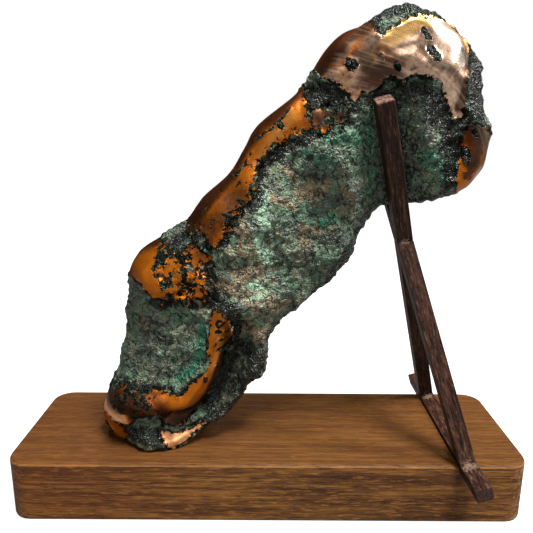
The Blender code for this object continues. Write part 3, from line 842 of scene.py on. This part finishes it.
def bare_copper(skin, place, specks, drift):
    """The copper's colour, roughness, share of metal, and height on the crust's scale of 0 to 1."""
    stir = skin.cloud(place, 7.0, 3.0, 0.55)
    scratches = scratched(skin, place)
    colour = skin.mix((specks - 0.5) * 2.0, DEEP_COPPER, CLEAN_COPPER)
    pink = (skin.measure("pink") + (stir - 0.5) * 0.8).step(0.25, 0.75)
    colour = skin.mix(pink, colour, PINK_COPPER)
    dull = (skin.measure("dull") + (stir - 0.5) * 0.6).step(0.2, 0.6)
    colour = skin.mix(dull, colour, skin.mix(drift.step(0.4, 0.6), WORN_COPPER, PALE_COPPER))
    # yellow copper, partly a painted highlight on the dome's rim and ridge
    golden_and_painted_highlight = skin.measure("golden_and_painted_highlight").step(0.2, 0.8)
    colour = skin.mix(golden_and_painted_highlight * 0.8, colour, GOLDEN_COPPER_AND_PAINTED_HIGHLIGHT)
    # painted highlight: near-white copper where the highlight mask is strong
    colour = skin.mix(skin.measure("painted_highlight").step(0.3, 0.55), colour, PAINTED_HIGHLIGHT_COPPER)
    # dark brown tarnish, and painted shade in the strip's recess
    tarnish_and_painted_shade = (skin.measure("tarnish_and_painted_shade") + (stir - 0.5) * 0.6 + (scratches - 0.5) * 0.15).step(0.15, 0.75)
    colour = skin.mix(tarnish_and_painted_shade * 0.94, colour, TARNISH_AND_PAINTED_SHADE)
    # brown dirt, and painted shade in the foot's groove and the strip's recess
    soot_and_painted_shade = (skin.measure("soot_and_painted_shade") + (drift - 0.5) * 2.0).step(0.3, 0.8)
    colour = skin.mix(soot_and_painted_shade * 0.85, colour, SOOT_AND_PAINTED_SHADE)
    colour = skin.mix(dull * scratches.step(0.52, 0.64) * 0.18, colour, DARK_SCRATCH)
    colour = skin.mix(dull * scratches.step(0.48, 0.36) * 0.15, colour, LIGHT_SCRATCH)

    dirt_and_painted_shade = tarnish_and_painted_shade.highest(soot_and_painted_shade)
    roughness = 0.44 - dull * 0.17 + dirt_and_painted_shade * 0.12
    metallic = 0.7 + dull.highest(dirt_and_painted_shade) * 0.24 - pink * 0.25
    height = 0.76 + (drift - 0.5) * (1 - dull.highest(golden_and_painted_highlight)) * 0.16
    return colour, roughness, metallic, height


def copper_and_crust():
    """Polished copper where the polish measure is high, granular green and black crust elsewhere."""
    skin = new_finish("copper_and_crust")
    place = skin.place()
    polish = skin.measure("polish")
    specks = skin.cloud(place, 2.2, 5.0, 0.66)
    blots = skin.cloud(place, 6.0, detail=1.0)
    drift = skin.cloud(place, 2.8, 3.0, 0.6, 0.4)
    copper = (polish + (specks - 0.5) * 4.4 + (blots - 0.5) * 2.0).step(-0.06, 0.06)
    crust_colour, black, crust_height = crust(skin, place, polish, blots, drift)
    crust_roughness = 0.5 - polish.step(-0.4, -1.3) * (0.1 + black * 0.14)
    glassy_black = black * (1 - copper) * polish.step(-1.3, -0.5)
    colour, roughness, metallic, height = bare_copper(skin, place, specks, drift)
    return skin.done(
        Base_Color=skin.mix(copper, crust_colour, colour),
        Metallic=(copper * metallic).highest(glassy_black),
        Roughness=crust_roughness + copper * (roughness - crust_roughness),
        Specular_IOR_Level=0.4,
        Normal=skin.bump(crust_height * (1 - copper) + copper * height, 1.1),
    )


def grain(wood, place, board, stretch, size, detail, roughness):
    """Noise drawn out along a board's grain. board is its directions along and across."""
    along, across = (Vector(direction) for direction in board)
    axes = [along / stretch, across, along.cross(across)]
    parts = [wood.along(place, axis) for axis in axes]
    drawn = wood.node("ShaderNodeCombineXYZ", {}, dict(enumerate(parts)))
    return wood.cloud(drawn, size, detail, roughness)


def block_finish():
    """Oiled brown hardwood: redder at the left, with painted shade darkening the top and a painted
    highlight along the upper edge.
    """
    wood = new_finish("oiled_block_wood")
    place = wood.place()
    waves = wood.stirred(place, 40.0, 3.0)
    board = (1, 0, 0), (0, 1, 0)
    broad = grain(wood, waves, board, 22, 4.5, 3.0, 0.55)
    streaks = grain(wood, waves, board, 28, 1.9, 3.0, 0.65)
    pores = grain(wood, waves, board, 9, 0.9, 2.0, 0.65)
    colour = wood.mix(broad.step(0.35, 0.65), BLOCK_DARK, BLOCK_WARM)
    colour = wood.mix(streaks.step(0.5, 0.64) * 0.7, colour, BLOCK_STREAK)
    colour = wood.mix(streaks.step(0.48, 0.34) * 0.5, colour, BLOCK_GOLD)
    colour = wood.mix(pores.step(0.54, 0.66) * 0.6, colour, BLOCK_PORE)
    colour = wood.mix(pores.step(0.44, 0.34) * 0.4, colour, BLOCK_FLECK)
    colour = wood.mix(wood.part(place, "X").step(10, -110) * 0.22, colour, BLOCK_RED)
    tilt = wood.part(wood.normal(), "Z")
    # painted shade: the faces that look up are darker
    colour = wood.mix(tilt.step(0.5, 0.9) * 0.72, colour, BLOCK_TOP_PAINTED_SHADE)
    # painted highlight along the rounded edge between the top and the sides
    edge = tilt.step(0.15, 0.4) * tilt.step(0.9, 0.7)
    colour = wood.mix(edge * 0.35, colour, BLOCK_EDGE_PAINTED_HIGHLIGHT)
    return wood.done(
        Base_Color=colour,
        Roughness=0.5,
        Specular_IOR_Level=0.15,
        Normal=wood.bump(pores.step(0.55, 0.68), -0.2),
    )


def prop_finish(name, board, end_colour):
    """Dark open-grained hardwood with speckled end grain and glue smeared about the joints."""
    wood = new_finish(name)
    place = wood.place()
    streaks = grain(wood, place, board, 16, 1.8, 3.0, 0.6)
    pores = grain(wood, place, board, 6, 0.75, 2.0, 0.6)
    colour = wood.mix(streaks.step(0.4, 0.65), PROP_DARK, PROP_BROWN)
    colour = wood.mix(pores.step(0.55, 0.66) * 0.8, colour, PROP_PORE)
    colour = wood.mix(pores.step(0.42, 0.32) * 0.5, colour, PROP_FLECK)
    speckle = wood.cloud(place, 1.0, 3.0, 0.7)
    end_grain = abs(wood.along(wood.normal(), board[0])).step(0.9, 0.97)
    colour = wood.mix(end_grain, colour, wood.mix(speckle.step(0.42, 0.58), PROP_END_SPECK, end_colour))
    for joint, reach in GLUED_JOINTS:
        glue = ((1 - wood.distance(place, joint) / reach) + (speckle - 0.5) * 3).step(0.3, 0.6)
        colour = wood.mix(glue * 0.8, colour, GLUE)
    return wood.done(
        Base_Color=colour,
        Roughness=0.55,
        Specular_IOR_Level=0.12,
        Normal=wood.bump(pores.step(0.55, 0.66), -0.2),
    )


def finish_stand():
    dress(NODES["base_block"], block_finish())
    lean = Matrix.Rotation(PROP_LEAN, 3, "Y")
    for name, turn in PROP_TURNS.items():
        board = lean @ Vector((0, math.sin(turn), math.cos(turn))), lean @ Vector((1, 0, 0))
        end_colour = DARK_END if name == "foot_bar" else PALE_END
        dress(NODES[name], prop_finish("dark_wood_of_" + name, board, end_colour))


# ---------------------------------------------------------------------------- studio


def make_camera():
    camera = bpy.data.objects.new("camera", bpy.data.cameras.new("camera"))
    bpy.context.scene.collection.objects.link(camera)
    camera.data.sensor_width = CAMERA_SENSOR
    camera.data.lens = CAMERA_LENS
    camera.data.clip_start = 10 * MM
    camera.data.clip_end = 20000 * MM
    ahead = Vector((-math.sin(CAMERA_LEFT), math.cos(CAMERA_LEFT), 0.0)) * math.cos(CAMERA_DOWN)
    ahead.z = -math.sin(CAMERA_DOWN)
    level = Vector((math.cos(CAMERA_LEFT), math.sin(CAMERA_LEFT), 0.0))
    right = math.cos(CAMERA_ROLL) * level - math.sin(CAMERA_ROLL) * ahead.cross(level)
    turn = Matrix((right, right.cross(ahead), -ahead)).transposed().to_4x4()
    camera.matrix_world = Matrix.Translation(Vector(CAMERA_PLACE) * MM) @ turn
    bpy.context.scene.camera = camera


def area_light(name, place, towards, size, power, colour=(1.0, 1.0, 1.0)):
    light = bpy.data.lights.new(name, "AREA")
    light.shape = "RECTANGLE"
    light.size, light.size_y = (side * MM for side in size)
    light.energy = power
    light.color = colour
    made = bpy.data.objects.new(name, light)
    made.location = Vector(place) * MM
    made.rotation_euler = (Vector(towards) - Vector(place)).to_track_quat("-Z", "Y").to_euler()
    bpy.context.scene.collection.objects.link(made)
    return made


def make_floor():
    """A floor that shows plain white, but lights the object no more than a dull grey one would."""
    mesh = bpy.data.meshes.new("floor")
    reach = FLOOR_REACH * MM
    corners = [(-reach, -reach, 0), (reach, -reach, 0), (reach, reach, 0), (-reach, reach, 0)]
    mesh.from_pydata(corners, [], [(0, 1, 2, 3)])
    floor = bpy.data.objects.new("floor", mesh)
    floor.location.z = -FLOOR_DROP * MM
    bpy.context.scene.collection.objects.link(floor)
    pale = new_finish("pale_floor")
    seen = pale.node("ShaderNodeLightPath", {}, {}, "Is Camera Ray")
    glow = pale.mix(seen, (0, 0, 0, 1), (1, 1, 1, 1))
    material = pale.done(
        Base_Color=(0.2, 0.2, 0.2, 1),
        Roughness=0.9,
        Emission_Color=glow,
        Emission_Strength=1.0,
    )
    mesh.materials.append(material)


def make_world():
    """A white background that gives the object only a little light."""
    world = bpy.data.worlds.new("studio")
    bpy.context.scene.world = world
    sky = Finish(world, "Background")
    seen = sky.node("ShaderNodeLightPath", {}, {}, "Is Camera Ray")
    sky.done(Color=sky.mix(seen, (0.05, 0.05, 0.05, 1), (1, 1, 1, 1)))


def make_lights():
    warm, warmer = (1.0, 0.97, 0.93), (1.0, 0.95, 0.9)
    area_light("window", (193, -251, 872), (30, 0, 130), (220, 220), 17.0, warm)
    area_light("side_window", (610, -110, 590), (70, 0, 200), (75, 380), 5.5)
    area_light("ceiling", (0, 0, 900), (20, 0, 100), (400, 300), 2.0)
    back_fill = area_light("back_fill", (-260, 800, 420), (0, 0, 110), (500, 400), 6.0)
    back_fill.visible_glossy = False
    area_light("front_fill", (150, -760, 300), (0, 0, 120), (300, 300), 1.4, warmer)
    area_light("left_fill", (-520, -400, 220), (-60, 0, 80), (200, 200), 0.5, warmer)


make_camera()
make_floor()
make_world()
make_lights()
bpy.context.scene.view_settings.view_transform = "Standard"
bpy.context.scene.cycles.denoising_prefilter = "NONE"  # keeps the crust's fine grain in the render
finish_stand()
make_nugget()
